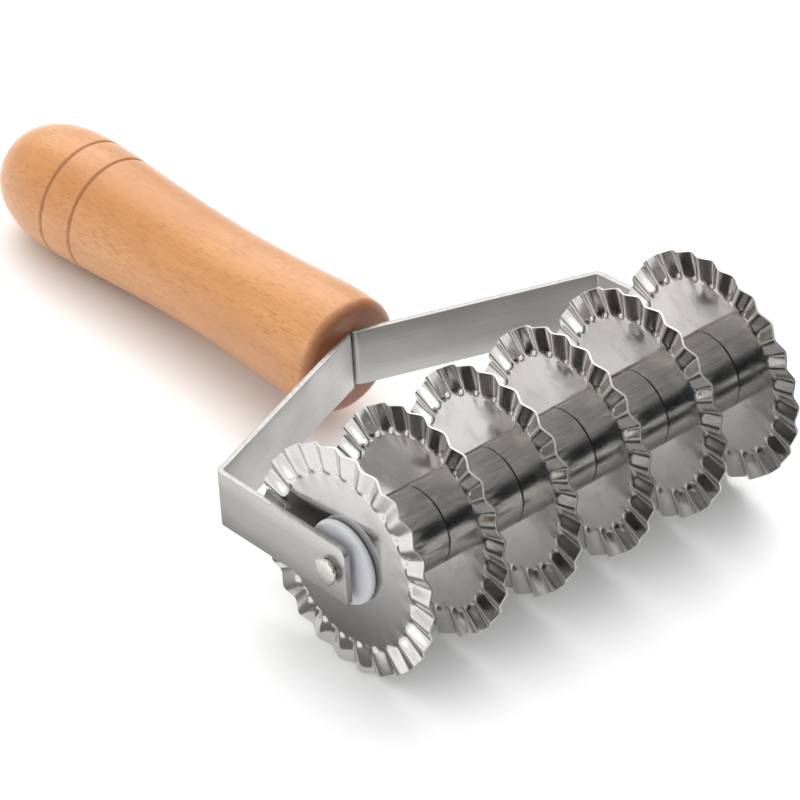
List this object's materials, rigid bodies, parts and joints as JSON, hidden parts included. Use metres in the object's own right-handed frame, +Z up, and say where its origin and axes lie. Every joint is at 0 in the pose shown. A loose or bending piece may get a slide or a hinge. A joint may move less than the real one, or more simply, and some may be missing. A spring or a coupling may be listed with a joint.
{
  "type": "fluted pastry cutter wheel",
  "caption": "Hand tool whose roller carries a row of fluted cutting discs between the arms of a bent steel strap yoke on a turned wooden handle.",
  "frame": {"origin": "middle of the tool's footprint, on the table it lies on", "axes": "+X along the roller's axle, +Y from the roller towards the butt of the handle, +Z up from the table"},
  "size_m": [0.1242, 0.2044, 0.056],
  "materials": {
    "beech": "turned beech with a clear satin lacquer",
    "satin_strap": "fine satin brushing along the strap",
    "polished_disc": "bright, nearly mirror-polished sheet",
    "tube_steel": "polished tube with fine turning marks",
    "rivet_steel": "peened and buffed pin head",
    "nylon": "smooth white moulded nylon"
  },
  "bodies": {
    "frame": {"handle": "beech", "arm_left": "satin_strap", "arm_right": "satin_strap", "axle": "rivet_steel"},
    "roller": {"bush_left": "nylon", "bush_right": "nylon", "core_tube": "tube_steel", "wheel_1": "polished_disc", "wheel_2": "polished_disc", "wheel_3": "polished_disc", "wheel_4": "polished_disc", "wheel_5": "polished_disc", "wheel_6": "polished_disc", "sleeve_1": "tube_steel", "sleeve_2": "tube_steel", "sleeve_3": "tube_steel", "sleeve_4": "tube_steel", "sleeve_5": "tube_steel"}
  },
  "joints": [
    {"name": "roller_spin", "type": "hinge", "parent": "frame", "child": "roller", "pos_m": [0.00029, -0.07424, 0.028], "axis": [1, 0, 0], "continuous": true}
  ]
}
